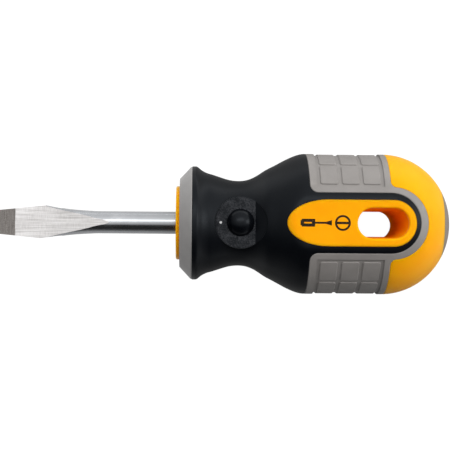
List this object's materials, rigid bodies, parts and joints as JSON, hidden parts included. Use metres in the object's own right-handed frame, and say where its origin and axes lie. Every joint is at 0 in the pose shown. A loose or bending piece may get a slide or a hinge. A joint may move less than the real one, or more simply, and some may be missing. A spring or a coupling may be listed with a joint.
{
  "type": "stubby slotted screwdriver",
  "caption": "Short slotted screwdriver with a flared ground blade and a fat ball-ended multi-colour grip with raised pads, flat windows and a hanging slot.",
  "frame": {"origin": "centre of the blade's tip face, on the tool axis", "axes": "+X along the tool axis from the tip to the end of the handle, +Z the normal of the upper window and of the blade's upper ground flat, +Y across; the tool lies on its lower window, which faces -Z"},
  "size_m": [0.0968, 0.0302, 0.0286],
  "materials": {
    "steel": "satin chrome bar with brushed ground flats and a dark tip",
    "core_plastic": "semi-gloss amber yellow",
    "grey_plastic": "satin warm grey",
    "black_soft": "soft satin black",
    "grey_soft": "matt warm grey",
    "cap_plastic": "satin grey"
  },
  "bodies": {
    "root": {"blade": "steel", "handle_core": "core_plastic", "nose_bezel": "grey_plastic", "grip_sleeve": "black_soft", "grip_cage": "grey_soft", "end_cap": "cap_plastic"}
  },
  "joints": []
}
